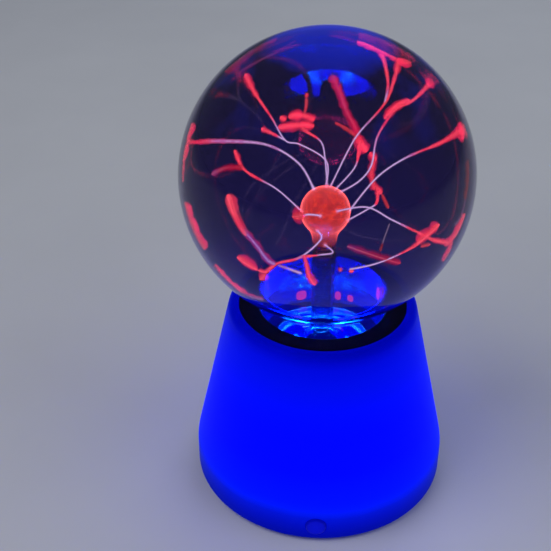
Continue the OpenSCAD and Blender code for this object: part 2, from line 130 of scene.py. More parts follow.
def add_neck_light(mirror, radius, height, radiance, colour):
    """An upward disk in the neck: the blue mouth of the base, seen upside down in the back of the globe."""
    data = bpy.data.lights.new("neck_light", "AREA")
    data.shape = "DISK"
    data.size = 2 * radius
    data.energy = radiance * math.pi * math.pi * radius**2
    data.color = colour
    light = bpy.data.objects.new("neck_light", data)
    light.location = (0, 0, height)
    light.rotation_euler = (math.pi, 0, 0)
    only_mirrored(light, mirror)
    bpy.context.scene.collection.objects.link(light)


def add_ball_light(mirror, radiance, colour):
    """The ball's red image, seen upside down in the back of the globe."""
    data = bpy.data.lights.new("ball_light", "POINT")
    data.shadow_soft_size = BALL_R + 1 * MM
    data.energy = radiance * 4 * math.pi**2 * BALL_R**2
    data.color = colour
    light = bpy.data.objects.new("ball_light", data)
    light.location = BALL_AT
    only_mirrored(light, mirror)
    bpy.context.scene.collection.objects.link(light)


def add_world():
    world = bpy.data.worlds.new("studio")
    world.use_nodes = True
    background = world.node_tree.nodes["Background"]
    background.inputs["Color"].default_value = (0.6, 0.66, 0.85, 1)
    background.inputs["Strength"].default_value = 0.13
    bpy.context.scene.world = world


# ---- building materials ------------------------------------------------------


class Paint:
    """A procedural material: its Principled shader, and short ways to feed the shader's sockets."""

    def __init__(self, name, **settings):
        self.material = bpy.data.materials.new(name)
        self.material.use_nodes = True
        self.tree = self.material.node_tree
        self.tree.nodes.clear()
        self.output = self.add("OutputMaterial")
        self.shader = self.add("BsdfPrincipled")
        self.join(self.shader.outputs[0], self.output.inputs["Surface"])
        self.where = self.add("TexCoord").outputs["Object"]
        for key, value in settings.items():
            self.shader.inputs[key.replace("_", " ")].default_value = value

    def add(self, kind):
        return self.tree.nodes.new("ShaderNode" + kind)

    def join(self, source, socket):
        self.tree.links.new(source, socket)

    def feed(self, socket, source):
        """Links source to one of the shader's sockets."""
        self.join(source, self.shader.inputs[socket])

    def put(self, node, index, value):
        """Links a socket, or sets a plain number, on a node's input."""
        if isinstance(value, bpy.types.NodeSocket):
            self.join(value, node.inputs[index])
        else:
            node.inputs[index].default_value = value

    def along(self, axis):
        """The object coordinate along X, Y or Z, in metres."""
        split = self.add("SeparateXYZ")
        self.join(self.where, split.inputs[0])
        return split.outputs[axis]

    def maths(self, operation, first, second=0.0):
        node = self.add("Math")
        node.operation = operation
        self.put(node, 0, first)
        self.put(node, 1, second)
        return node.outputs[0]

    def radius(self, x=0.0, y=0.0):
        """Distance from the upright axis through (x, y)."""
        across = self.maths("POWER", self.maths("SUBTRACT", self.along("X"), x), 2)
        deep = self.maths("POWER", self.maths("SUBTRACT", self.along("Y"), y), 2)
        return self.maths("SQRT", self.maths("ADD", across, deep))

    def stretched(self, x, y, z):
        """Object coordinates scaled by three factors."""
        mapping = self.add("Mapping")
        self.join(self.where, mapping.inputs["Vector"])
        mapping.inputs["Scale"].default_value = (x, y, z)
        return mapping.outputs[0]

    def noise(self, scale, detail=3.0, vector=None, rough=0.55):
        node = self.add("TexNoise")
        self.join(vector or self.where, node.inputs["Vector"])
        node.inputs["Scale"].default_value = scale
        node.inputs["Detail"].default_value = detail
        node.inputs["Roughness"].default_value = rough
        return node.outputs[0]

    def cells(self, scale, feature="F1", vector=None):
        node = self.add("TexVoronoi")
        node.feature = feature
        self.join(vector or self.where, node.inputs["Vector"])
        node.inputs["Scale"].default_value = scale
        return node.outputs["Distance"]

    def span(self, source, low, high):
        """source, mapped so that low gives 0 and high gives 1."""
        node = self.add("MapRange")
        self.join(source, node.inputs["Value"])
        node.inputs["From Min"].default_value = low
        node.inputs["From Max"].default_value = high
        return node.outputs[0]

    def ramp(self, source, stops):
        """A colour ramp with (position, colour) stops."""
        node = self.add("ValToRGB")
        elements = node.color_ramp.elements
        elements[1].position = stops[-1][0]
        elements[0].position = stops[0][0]
        for position, _ in stops[1:-1]:
            elements.new(position)
        for element, (_, colour) in zip(elements, stops):
            element.color = (*colour, 1) if isinstance(colour, tuple) else (colour, colour, colour, 1)
        self.join(source, node.inputs[0])
        return node.outputs[0]

    def mix(self, factor, first, second):
        node = self.add("Mix")
        node.data_type = "RGBA"
        self.put(node, 0, factor)
        for index, value in ((6, first), (7, second)):
            self.put(node, index, (*value, 1) if isinstance(value, tuple) else value)
        return node.outputs[2]

    def bump(self, height, strength, depth):
        """Feeds the shader's normal from a height map; depth is in metres."""
        node = self.add("Bump")
        node.inputs["Strength"].default_value = strength
        node.inputs["Distance"].default_value = depth
        self.join(height, node.inputs["Height"])
        self.feed("Normal", node.outputs[0])

    def fill_with_light(self, colour, strength):
        """Glowing gas inside the piece, brighter where more of it is looked through."""
        gas = self.add("Emission")
        gas.inputs["Color"].default_value = (*colour, 1)
        gas.inputs["Strength"].default_value = strength
        self.join(gas.outputs[0], self.output.inputs["Volume"])

    def let_lamps_through(self, tint):
        """Shadow rays pass straight through this glass, so that lamps light what is behind it."""
        path = self.add("LightPath")
        clear = self.add("BsdfTransparent")
        clear.inputs["Color"].default_value = (*tint, 1)
        mixer = self.add("MixShader")
        self.join(path.outputs["Is Shadow Ray"], mixer.inputs[0])
        self.join(self.shader.outputs[0], mixer.inputs[1])
        self.join(clear.outputs[0], mixer.inputs[2])
        self.join(mixer.outputs[0], self.output.inputs["Surface"])


# ---- the materials -----------------------------------------------------------

# Colour that one wall of the globe leaves of what is behind it, and the gain that makes up for it
SMOKE = (0.17, 0.14, 0.3)
GAIN = 1 / min(SMOKE)
CLEAR = (0.86, 0.9, 0.95)
BLACK = (0.0, 0.0, 0.0, 1)
# Radius of the LEDs' beam where it meets the top of the globe
BEAM_R = 34 * MM


def behind_glass(red, green, blue):
    """Light inside the globe, as a share of GAIN, that has this colour once it is seen from outside."""
    return (red / SMOKE[0] / GAIN, green / SMOKE[1] / GAIN, blue / SMOKE[2] / GAIN)


def globe_glass():
    """Smoky blown glass with a slightly wavy wall, lit blue by the LEDs near the neck and on its crown."""
    paint = Paint("globe_glass", Base_Color=(*SMOKE, 1), Roughness=0.0, IOR=1.27, Transmission_Weight=1.0)
    paint.shader.inputs["Emission Strength"].default_value = 0.2
    # Painted light: streaky noise that makes the edge of the painted blue beam on the crown ragged.
    beam_streak_noise = paint.noise(1, 4.0, paint.stretched(30, 30, 8))
    streaks = paint.maths("MULTIPLY", paint.maths("SUBTRACT", beam_streak_noise, 0.5), 0.5)
    spread = paint.maths("ADD", paint.span(paint.radius(), 0.0, BEAM_R), streaks)
    cone = [(0.5, (0.0, 0.03, 1.0)), (0.8, (0.0, 0.02, 0.7)), (1.0, (0.0, 0.0, 0.0))]
    beam = paint.ramp(spread, cone)
    up = paint.span(paint.along("Z"), NECK_END, globe_high.z)
    fade = [
        (0.1, (0.0, 0.004, 0.4)),
        (0.2, (0.0, 0.002, 0.4)),
        (0.32, (0.0, 0.0, 0.2)),
        (0.6, (0.0, 0.0, 0.0)),
    ]
    foot = paint.ramp(up, fade)
    crown = paint.ramp(up, [(0.78, 0.0), (0.88, 1.0)])
    paint.feed("Emission Color", paint.mix(crown, foot, beam))
    paint.bump(paint.noise(16, 1.0), 0.15, 0.6 * MM)
    paint.let_lamps_through((0.6, 0.6, 0.7))
    return paint.material


def stem_glass():
    """Clear lead glass at the foot, dark blue up the stem."""
    paint = Paint("stem_glass", Base_Color=(*CLEAR, 1), Roughness=0.0, IOR=1.47, Transmission_Weight=1.0)
    rise = paint.span(paint.along("Z"), FOOT_Z, BALL_AT.z)
    paint.feed("Base Color", paint.ramp(rise, [(0.1, CLEAR), (0.26, (0.2, 0.22, 0.6))]))
    paint.bump(paint.noise(90, 2.0), 0.15, 0.2 * MM)
    paint.let_lamps_through((0.9, 0.92, 0.96))
    return paint.material


def ball_film():
    """Thin glass under a skin of glowing gas: orange-red round the ball, crimson and dim down the taper,
    with a painted highlight, brighter and pinker, over its top.
    """
    paint = Paint(
        "ball_film",
        Base_Color=(0.5, 0.04, 0.03, 1),
        Roughness=0.16,
        Specular_IOR_Level=0.12,
        Sheen_Weight=0.3,
        Sheen_Tint=(1.0, 0.3, 0.2, 1),
        Alpha=0.25,
        Emission_Strength=0.22 * GAIN,
    )
    mottle = paint.maths("MULTIPLY", paint.maths("SUBTRACT", paint.noise(210, 4.0), 0.5), 0.22)
    rise = paint.span(paint.along("Z"), BALL_AT.z - 2.2 * BALL_R, BALL_AT.z + BALL_R)
    level = paint.maths("ADD", rise, mottle)
    # The last two stops paint a highlight: the glow turns brighter and pinker over the top of the ball.
    glow = paint.ramp(
        level,
        [
            (0.0, behind_glass(0.0, 0.0, 0.02)),
            (0.14, behind_glass(0.06, 0.0, 0.02)),
            (0.3, behind_glass(0.36, 0.001, 0.055)),
            (0.44, behind_glass(0.46, 0.001, 0.05)),
            (0.62, behind_glass(0.48, 0.002, 0.035)),
            (0.88, behind_glass(0.48, 0.003, 0.035)),
            (0.96, behind_glass(0.6, 0.03, 0.08)),
            (1.0, behind_glass(1.0, 0.16, 0.24)),
        ],
    )
    paint.feed("Emission Color", glow)
    paint.bump(paint.noise(900, 4.0), 0.2, 0.1 * MM)
    return paint.material


def ball_halo():
    """The glowing gas that clings to the ball, which shows as a bright rim."""
    paint = Paint("ball_halo", Base_Color=BLACK, Roughness=1.0, Specular_IOR_Level=0.0, Alpha=0.05)
    paint.shader.inputs["Emission Strength"].default_value = GAIN
    thin = paint.noise(300, 3.0)
    edge = [(0.3, behind_glass(0.3, 0.01, 0.02)), (0.7, behind_glass(0.7, 0.05, 0.05))]
    paint.feed("Emission Color", paint.ramp(thin, edge))
    paint.fill_with_light(behind_glass(1.0, 0.11, 0.09), 250 * GAIN)
    return paint.material


def glowing_wool():
    """Steel wool lit red by the gas round the ball, with dark gaps between its strands."""
    paint = Paint("glowing_wool", Base_Color=(0.3, 0.28, 0.28, 1), Roughness=0.4, Metallic=1.0)
    paint.shader.inputs["Emission Strength"].default_value = 0.75 * GAIN
    patches = paint.noise(260, 4.0)
    reds = [
        (0.36, behind_glass(0.06, 0.0, 0.01)),
        (0.5, behind_glass(0.4, 0.001, 0.022)),
        (0.62, behind_glass(1.0, 0.05, 0.02)),
    ]
    paint.feed("Emission Color", paint.ramp(patches, reds))
    paint.bump(paint.noise(1, 6.0, paint.stretched(400, 3200, 900)), 1.0, 0.4 * MM)
    return paint.material


def lit_plastic():
    """Milky blue plastic with a painted glow for the LEDs' light inside it: brightest half way up, dimmer
    along the band, with painted shade dimming it at the rounded rim.
    """
    power = 1.5
    paint = Paint(
        "lit_plastic",
        Base_Color=(0.0, 0.004, 0.3, 1),
        Roughness=0.42,
        Specular_IOR_Level=0.02,
        Sheen_Weight=0.35,
        Sheen_Roughness=0.35,
        Sheen_Tint=(0.0, 0.2, 1.0, 1),
        Emission_Strength=power,
    )
    # height in millimetres, and blue and green of the painted glow; the low values at the top paint the
    # shade on the rim
    heights = [
        (0.0, 0.16, 0.0),
        (5.0, 0.27, 0.001),
        (12.0, 0.42, 0.002),
        (17.0, 0.55, 0.004),
        (20.5, 0.8, 0.007),
        (26.0, 1.15, 0.003),
        (45.0, 1.4, 0.0),
        (66.0, 1.15, 0.0),
        (80.0, 0.9, 0.001),
        (94.0, 0.74, 0.002),
        (104.0, 0.62, 0.001),
        (108.5, 0.46, 0.0),
        (112.0, 0.26, 0.0),
    ]
    top = heights[-1][0]
    level = paint.span(paint.along("Z"), 0.0, top * MM)
    cloud = paint.maths("MULTIPLY", paint.maths("SUBTRACT", paint.noise(28, 2.0), 0.5), 0.03)
    level = paint.maths("ADD", level, cloud)
    glow = paint.ramp(level, [(z / top, (0.0, green / power, blue / power)) for z, blue, green in heights])
    paint.feed("Emission Color", glow)
    grain = paint.noise(2600, 3.0)
    paint.feed("Roughness", paint.ramp(grain, [(0.3, 0.38), (0.7, 0.48)]))
    paint.bump(grain, 0.12, 0.05 * MM)
    return paint.material


def button_plastic():
    """The band's plastic, dimmer: less of the light reaches the cap, and least of all its rounded edge."""
    blue = (0.0, 0.004, 0.3, 1)
    paint = Paint("button_plastic", Base_Color=blue, Roughness=0.36, Specular_IOR_Level=0.08)
    paint.shader.inputs["Emission Strength"].default_value = 1.0
    middle = (button_low.z + button_high.z) / 2
    across = paint.maths("POWER", paint.along("X"), 2)
    up = paint.maths("POWER", paint.maths("SUBTRACT", paint.along("Z"), middle), 2)
    off = paint.maths("SQRT", paint.maths("ADD", across, up))
    face = paint.span(off, 0.0, BUTTON_R)
    blues = [(0.0, (0.0, 0.002, 0.46)), (0.75, (0.0, 0.001, 0.4)), (0.95, (0.0, 0.0, 0.2))]
    paint.feed("Emission Color", paint.ramp(face, blues))
    paint.bump(paint.noise(2600, 3.0), 0.12, 0.05 * MM)
    return paint.material


def black_rubber():
    """Matt black rubber, with fine grain and a little dust."""
    paint = Paint("black_rubber", Base_Color=BLACK, Roughness=0.75, Specular_IOR_Level=0.16)
    grain = paint.noise(1700, 5.0)
    dust = paint.noise(120, 3.0)
    blacks = [(0.45, (0.002, 0.002, 0.003)), (0.75, (0.006, 0.006, 0.008))]
    paint.feed("Base Color", paint.ramp(dust, blacks))
    paint.feed("Roughness", paint.ramp(grain, [(0.3, 0.62), (0.7, 0.8)]))
    paint.bump(grain, 0.3, 0.08 * MM)
    return paint.material


def foam():
    paint = Paint("grey_foam", Base_Color=(0.2, 0.2, 0.22, 1), Roughness=0.95)
    # Darker in the middle of each cell: painted shade in the foam's pores.
    holes = paint.cells(1400)
    paint.feed("Base Color", paint.ramp(holes, [(0.0, (0.08, 0.08, 0.1)), (0.5, (0.3, 0.3, 0.33))]))
    paint.bump(holes, 0.6, 0.3 * MM)
    return paint.material


def white_plastic():
    """Moulded white plastic, uneven in tone and gloss."""
    paint = Paint("white_plastic", Base_Color=(0.72, 0.73, 0.76, 1), Roughness=0.45)
    grain = paint.noise(1500, 4.0)
    tone = paint.noise(60, 2.0)
    paint.feed("Base Color", paint.ramp(tone, [(0.3, (0.68, 0.69, 0.72)), (0.7, (0.76, 0.77, 0.79))]))
    paint.feed("Roughness", paint.ramp(grain, [(0.3, 0.38), (0.7, 0.52)]))
    paint.bump(grain, 0.15, 0.06 * MM)
    return paint.material


def glowing_plastic():
    """The holder's white plastic, painted blue and given a painted glow for the LEDs' light: cyan at the
    board, deep blue at the rim.
    """
    # Painted light: the LEDs' blue stands in for the white plastic's own base colour.
    blue = (0.01, 0.02, 0.3, 1)
    paint = Paint("glowing_plastic", Base_Color=blue, Roughness=0.5, Specular_IOR_Level=0.1)
    paint.shader.inputs["Emission Strength"].default_value = 7.0
    level = paint.span(paint.along("Z"), ring_low.z, RIM_Z)
    blues = [
        (0.0, (0.0, 0.16, 1.0)),
        (0.4, (0.0, 0.04, 1.0)),
        (0.75, (0.0, 0.0, 0.9)),
        (1.0, (0.0, 0.0, 0.5)),
    ]
    paint.feed("Emission Color", paint.ramp(level, blues))
    grain = paint.noise(1500, 4.0)
    paint.feed("Roughness", paint.ramp(grain, [(0.3, 0.42), (0.7, 0.58)]))
    paint.bump(grain, 0.15, 0.06 * MM)
    return paint.material


def plated_steel():
    paint = Paint("zinc_steel", Base_Color=(0.6, 0.61, 0.63, 1), Roughness=0.3, Metallic=1.0)
    scuff = paint.noise(900, 5.0)
    paint.feed("Base Color", paint.ramp(scuff, [(0.3, (0.5, 0.51, 0.54)), (0.7, (0.72, 0.72, 0.72))]))
    paint.feed("Roughness", paint.ramp(scuff, [(0.3, 0.22), (0.7, 0.42)]))
    paint.bump(scuff, 0.1, 0.05 * MM)
    return paint.material


def drawn_wire(name="spring_steel", colour=(0.55, 0.56, 0.6)):
    paint = Paint(name, Base_Color=(*colour, 1), Roughness=0.28, Metallic=1.0)
    streaks = paint.noise(1, 4.0, paint.stretched(900, 900, 4000))
    paint.feed("Roughness", paint.ramp(streaks, [(0.3, 0.2), (0.7, 0.4)]))
    paint.bump(streaks, 0.15, 0.03 * MM)
    return paint.material


def circuit_board():
    """Green solder mask over traces, with tinned pads on a grid and a pale fibre edge."""
    paint = Paint("circuit_board", Base_Color=(0.01, 0.13, 0.05, 1), Roughness=0.32, Coat_Weight=0.3)
    traces = paint.cells(95, "DISTANCE_TO_EDGE", paint.stretched(1.0, 1.0, 0.0))
    lines = paint.ramp(traces, [(0.05, 1.0), (0.09, 0.0)])
    green = paint.mix(lines, (0.006, 0.1, 0.038), (0.02, 0.2, 0.07))
    pads = paint.ramp(paint.cells(300, "F1", paint.stretched(1.0, 1.0, 0.0)), [(0.13, 1.0), (0.17, 0.0)])
    spread = paint.ramp(paint.noise(55, 1.0), [(0.52, 0.0), (0.56, 1.0)])
    pads = paint.maths("MULTIPLY", pads, spread)
    paint.feed("Base Color", paint.mix(pads, green, (0.62, 0.62, 0.6)))
    paint.feed("Metallic", pads)
    paint.bump(paint.maths("ADD", lines, pads), 0.25, 0.05 * MM)
    return paint.material


def lit_circuit_board():
    """White-masked ring board, washed by the LEDs that stand on it."""
    paint = Paint("lit_circuit_board", Roughness=0.4, Emission_Strength=38.0)
    off_ring = paint.maths("ABSOLUTE", paint.maths("SUBTRACT", paint.radius(), LED_RING_R))
    wash = [(0.0, (0.0, 0.55, 1.0)), (0.35, (0.0, 0.25, 0.9)), (1.0, (0.0, 0.06, 0.5))]
    paint.feed("Emission Color", paint.ramp(paint.span(off_ring, 0.0, ring_high.x - LED_RING_R), wash))
    traces = paint.ramp(paint.cells(140, "DISTANCE_TO_EDGE"), [(0.04, 1.0), (0.08, 0.0)])
    paint.feed("Base Color", paint.mix(traces, (0.6, 0.63, 0.66), (0.42, 0.46, 0.5)))
    paint.bump(traces, 0.2, 0.05 * MM)
    return paint.material


def led_light(name, lens_low, lens_high, power):
    """LED chip: white body, and a lens that shines between two heights."""
    paint = Paint(name, Base_Color=(0.7, 0.74, 0.8, 1), Roughness=0.3, Emission_Strength=power)
    middle = (lens_low + lens_high) / 2
    off = paint.maths("ABSOLUTE", paint.maths("SUBTRACT", paint.along("Z"), middle))
    half = (lens_high - lens_low) / 2
    lens = [(0.0, (0.02, 0.42, 1.0)), (1.0, (0.0, 0.01, 0.06))]
    paint.feed("Emission Color", paint.ramp(paint.span(off, half, half + 0.3 * MM), lens))
    paint.bump(paint.noise(2200, 3.0), 0.1, 0.04 * MM)
    return paint.material


def speckled(name, dark, light, rough, scale=1800, relief=0.3, metallic=0.0, coat=0.0):
    """Fine speckle between two colours, for moulded, pressed and lacquered parts."""
    paint = Paint(name, Base_Color=(*dark, 1), Roughness=rough, Metallic=metallic, Coat_Weight=coat)
    grain = paint.noise(scale, 5.0)
    paint.feed("Base Color", paint.ramp(grain, [(0.3, dark), (0.72, light)]))
    paint.feed("Roughness", paint.ramp(grain, [(0.3, rough - 0.08), (0.7, rough + 0.08)]))
    paint.bump(grain, relief, 0.06 * MM)
    return paint.material


def wound_copper():
    """Enamelled copper: fine turns one above another, with painted shade that makes it darker and redder in
    the grooves.
    """
    paint = Paint("copper_wire", Roughness=0.26, Metallic=1.0, Coat_Weight=0.8)
    wire = 0.35 * MM
    turns = paint.maths("SINE", paint.maths("MULTIPLY", paint.along("Z"), 2 * math.pi / wire))
    # Painted shade: dark and red where the sine dips between the turns.
    ridge = paint.span(turns, -1.0, 1.0)
    paint.feed("Base Color", paint.ramp(ridge, [(0.0, (0.2, 0.05, 0.015)), (0.8, (0.75, 0.32, 0.13))]))
    paint.bump(ridge, 0.6, 0.1 * MM)
    return paint.material


def brushed_aluminium():
    paint = Paint("heatsink_aluminium", Base_Color=(0.7, 0.71, 0.73, 1), Roughness=0.35, Metallic=1.0)
    lines = paint.noise(1, 3.0, paint.stretched(3500, 3500, 25))
    paint.feed("Roughness", paint.ramp(lines, [(0.3, 0.25), (0.7, 0.48)]))
    paint.feed("Base Color", paint.ramp(lines, [(0.3, (0.6, 0.61, 0.63)), (0.7, (0.78, 0.79, 0.8))]))
    paint.bump(lines, 0.2, 0.04 * MM)
    return paint.material


def capacitor_sleeve():
    """Blue-black shrink sleeve with a pale stripe down one side, bare aluminium over the top."""
    paint = Paint("capacitor_sleeve", Base_Color=(0.015, 0.02, 0.09, 1), Roughness=0.3, Coat_Weight=0.4)
    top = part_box("electrolytic_capacitors")[1].z
    stripe = paint.ramp(paint.span(paint.along("X"), 19 * MM, 34.5 * MM), [(0.08, 1.0), (0.1, 0.0)])
    sleeve = paint.mix(stripe, (0.012, 0.016, 0.08), (0.5, 0.5, 0.55))
    height = paint.span(paint.along("Z"), top - 0.9 * MM, top - 0.5 * MM)
    cap = paint.ramp(height, [(0.45, 0.0), (0.55, 1.0)])
    paint.feed("Base Color", paint.mix(cap, sleeve, (0.7, 0.7, 0.72)))
    paint.feed("Metallic", cap)
    paint.bump(paint.noise(600, 3.0), 0.1, 0.05 * MM)
    return paint.material


def resistor_body():
    """Tan lacquer with four colour bands, and tinned wire ends."""
    paint = Paint("resistor_body", Base_Color=(0.5, 0.34, 0.18, 1), Roughness=0.35, Coat_Weight=0.4)
    low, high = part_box("resistors")
    place = paint.span(paint.along("X"), low.x, high.x)
    tan = (0.5, 0.34, 0.18)
    wire = (0.62, 0.62, 0.64)
    bands = [(0.0, wire), (0.215, wire), (0.22, tan)]
    for start, colour in ((0.3, (0.5, 0.02, 0.02)), (0.4, (0.25, 0.02, 0.3)), (0.5, (0.45, 0.12, 0.01))):
        bands += [(start, tan), (start + 0.01, colour), (start + 0.05, colour), (start + 0.06, tan)]
    bands += [(0.68, (0.6, 0.42, 0.1)), (0.73, (0.6, 0.42, 0.1)), (0.74, tan), (0.775, tan), (0.785, wire)]
    paint.feed("Base Color", paint.ramp(place, bands))
    paint.feed("Metallic", paint.ramp(place, [(0.215, 1.0), (0.22, 0.0), (0.78, 0.0), (0.785, 1.0)]))
    paint.bump(paint.noise(1200, 3.0), 0.15, 0.04 * MM)
    return paint.material


def insulation(name, colour):
    """Soft wire insulation, slightly uneven in gloss."""
    paint = Paint(name, Base_Color=(*colour, 1), Roughness=0.4, Specular_IOR_Level=0.45)
    dark = tuple(part * 0.7 for part in colour)
    paint.feed("Base Color", paint.ramp(paint.noise(250, 2.0), [(0.3, dark), (0.7, colour)]))
    paint.bump(paint.noise(1500, 3.0), 0.12, 0.04 * MM)
    return paint.material


def plasma(name, strength, alpha, colours, gas=None):
    """Glowing gas. colours run from a thin filament, at warmth 0, to a pad on the glass, at 1."""
    paint = Paint(name, Base_Color=BLACK, Roughness=1.0, Specular_IOR_Level=0.0, Alpha=alpha)
    warmth = paint.add("Attribute")
    warmth.attribute_name = "warmth"
    power = paint.add("Attribute")
    power.attribute_name = "power"
    flicker = paint.maths("MULTIPLY", paint.maths("SUBTRACT", paint.noise(420, 3.0), 0.5), 0.3)
    level = paint.maths("ADD", warmth.outputs["Fac"], flicker)
    paint.feed("Emission Color", paint.ramp(level, [(at, behind_glass(*colour)) for at, colour in colours]))
    paint.feed("Emission Strength", paint.maths("MULTIPLY", power.outputs["Fac"], strength * GAIN))
    if gas:
        paint.fill_with_light(behind_glass(*gas[:3]), gas[3] * GAIN)
    paint.material.cycles.emission_sampling = "NONE"
    return paint.material


CORE_COLOURS = [
    (0.0, (0.6, 0.38, 0.78)),
    (0.3, (0.6, 0.26, 0.6)),
    (0.5, (0.9, 0.14, 0.28)),
    (0.75, (0.9, 0.04, 0.12)),
    (1.0, (1.0, 0.09, 0.16)),
]
PAD_COLOURS = [
    (0.0, (0.14, 0.028, 0.36)),
    (0.35, (0.34, 0.02, 0.3)),
    (0.55, (0.55, 0.003, 0.08)),
    (0.85, (0.8, 0.006, 0.07)),
    (1.0, (1.0, 0.04, 0.09)),
]


# ---- meshes ------------------------------------------------------------------


def new_piece(name, points, faces, materials, body="lamp"):
    """A smooth-shaded mesh that rides on a body."""
    mesh = bpy.data.meshes.new(name)
    mesh.from_pydata([tuple(p) for p in points], [], faces)
    piece = bpy.data.objects.new(name, mesh)
    bpy.context.scene.collection.objects.link(piece)
    for material in materials:
        mesh.materials.append(material)
    work = bmesh.new()
    work.from_mesh(mesh)
    bmesh.ops.recalc_face_normals(work, faces=work.faces)
    work.to_mesh(mesh)
    work.free()
    mesh.shade_smooth()
    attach(piece, body)
    return piece


def arc(centre, radius, start, end, steps):
    """Points (r, z) on an arc between two angles in degrees."""
    angles = np.radians(np.linspace(start, end, steps + 1))
    return [(centre[0] + radius * math.cos(a), centre[1] + radius * math.sin(a)) for a in angles]


def lathe(outline, turns):
    """Points and faces of an outline turned about Z. Both ends of the outline lie on the axis."""
    points = [(0, 0, outline[0][1])]
    for r, z in outline[1:-1]:
        for k in range(turns):
            a = 2 * math.pi * k / turns
            points.append((r * math.cos(a), r * math.sin(a), z))
    points.append((0, 0, outline[-1][1]))
    last = len(points) - 1
    faces = []
    for k in range(turns):
        k1 = (k + 1) % turns
        faces.append((0, 1 + k, 1 + k1))
        for i in range(len(outline) - 3):
            a = 1 + i * turns
            faces.append((a + k, a + turns + k, a + turns + k1, a + k1))
        faces.append((last, last - turns + k1, last - turns + k))
    return points, faces


# ---- glass -------------------------------------------------------------------


def globe_outline(inset):
    """From the top of the globe down to the end of its neck, inset from the outer surface."""
    side = NECK_R + NECK_BLEND
    height = GLOBE_AT.z - math.sqrt((GLOBE_R + NECK_BLEND) ** 2 - side**2)
    dip = math.degrees(math.atan2(height - GLOBE_AT.z, side))
    ball = arc((0, GLOBE_AT.z), GLOBE_R - inset, 90, dip, 110)
    blend = arc((side, height), NECK_BLEND + inset, dip + 180, 180, 14)
    return [(0, ball[0][1])] + ball[1:] + blend[1:]


def add_globe(glass):
    """Outer and inner wall as one closed surface, with a fire-polished lip at the neck's end."""
    seat = NECK_END + 0.05 * MM
    lip = GLOBE_WALL / 2
    outline = globe_outline(0) + arc((NECK_R - lip, seat + lip), lip, 0, -180, 8)
    outline += globe_outline(GLOBE_WALL)[::-1]
    points, faces = lathe(outline, 224)
    piece = new_piece("globe", points, faces, [glass])
    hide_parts("glass_globe")
    return piece


def bulb_outline(ball_r, tube_r, blend):
    """From the top of the ball down to its stem, with the tangent point that ends the ball."""
    side = tube_r + blend
    height = BALL_AT.z - math.sqrt((ball_r + blend) ** 2 - side**2)
    dip = math.degrees(math.atan2(height - BALL_AT.z, side))
    ball = arc((0, BALL_AT.z), ball_r, 90, dip, 40)
    return [(0, ball[0][1])] + ball[1:] + arc((side, height), blend, dip + 180, 180, 12)[1:]


def add_electrode(film, glass):
    """Ball, stem, trumpet and foot as one piece of glass; the ball and its taper carry the glowing film."""
    bore = STEM_R - STEM_WALL
    knee = (STEM_R + FOOT_BLEND, FOOT_Z + FOOT_T + FOOT_BLEND)
    outer = bulb_outline(BALL_R, STEM_R, BALL_BLEND)
    outline = outer + [(STEM_R, outer[-1][1] - 0.7 * BALL_R)] + arc(knee, FOOT_BLEND, 180, 270, 12)
    outline += [(FOOT_R - 0.3 * MM, FOOT_Z + FOOT_T), (FOOT_R, FOOT_Z + FOOT_T - 0.3 * MM)]
    outline += [(FOOT_R, FOOT_Z + 0.3 * MM), (FOOT_R - 0.3 * MM, FOOT_Z)]
    outline += arc(knee, FOOT_BLEND + FOOT_T, 270, 180, 12)
    inner = bulb_outline(BALL_R - BALL_WALL, bore, BALL_BLEND + STEM_WALL)
    outline += [(bore, inner[-1][1] - 0.7 * BALL_R)] + inner[::-1]
    points, faces = lathe(outline, 96)
    piece = new_piece("electrode", points, faces, [glass, film])
    lowest = outer[-1][1] - 0.71 * BALL_R
    for polygon in piece.data.polygons:
        polygon.material_index = int(polygon.center.z > lowest)
    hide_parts("inner_electrode")


def add_halo(material):
    """A closed shell of gas round the ball and its taper."""
    gap = 0.05 * MM
    depth = 0.6 * MM
    outer = bulb_outline(BALL_R + gap + depth, STEM_R + gap + 0.1 * MM, BALL_BLEND)
    inner = bulb_outline(BALL_R + gap, STEM_R + gap, BALL_BLEND)
    points, faces = lathe(outer + inner[::-1], 96)
    new_piece("ball_halo", points, faces, [material])


def add_wool(material):
    """A lumpy ball of packed wire with loose strands over it."""
    low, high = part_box("electrode_wool")
    reach = (high.z - low.z) / 2 - 0.2 * MM
    work = bmesh.new()
    bmesh.ops.create_icosphere(work, subdivisions=5, radius=1.0)
    points = []
    for vertex in work.verts:
        rough = noise.fractal(vertex.co * 6, 1.0, 2.0, 4)
        points.append(BALL_AT + vertex.co * (reach * (0.9 + 0.05 * rough)))
    faces = [tuple(corner.index for corner in face.verts) for face in work.faces]
    work.free()
    chance = np.random.default_rng(5)
    for strand in range(150):
        start, turn = chance.normal(size=3), chance.normal(size=3)
        start /= np.linalg.norm(start)
        turn -= start * (turn @ start)
        turn /= np.linalg.norm(turn)
        angles = np.linspace(0, chance.uniform(0.5, 1.7), 16)
        wander = 0.12 * np.sin(angles * 5 + strand)[:, None] * np.cross(start, turn)
        line = np.cos(angles)[:, None] * start + np.sin(angles)[:, None] * turn + wander
        line /= np.linalg.norm(line, axis=1)[:, None]
        depth = reach * (chance.uniform(0.93, 0.97) + 0.02 * np.sin(angles * 9))
        path = np.array(BALL_AT) + line * depth[:, None]
        widths = np.full(len(path), 0.13 * MM)
        more_points, more_faces = tube(path, widths, widths, BALL_AT, 4)
        faces += [tuple(len(points) + i for i in face) for face in more_faces]
        points += more_points
    piece = new_piece("wool", points, faces, [material])
    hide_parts("electrode_wool")


# ---- tubes along paths -------------------------------------------------------


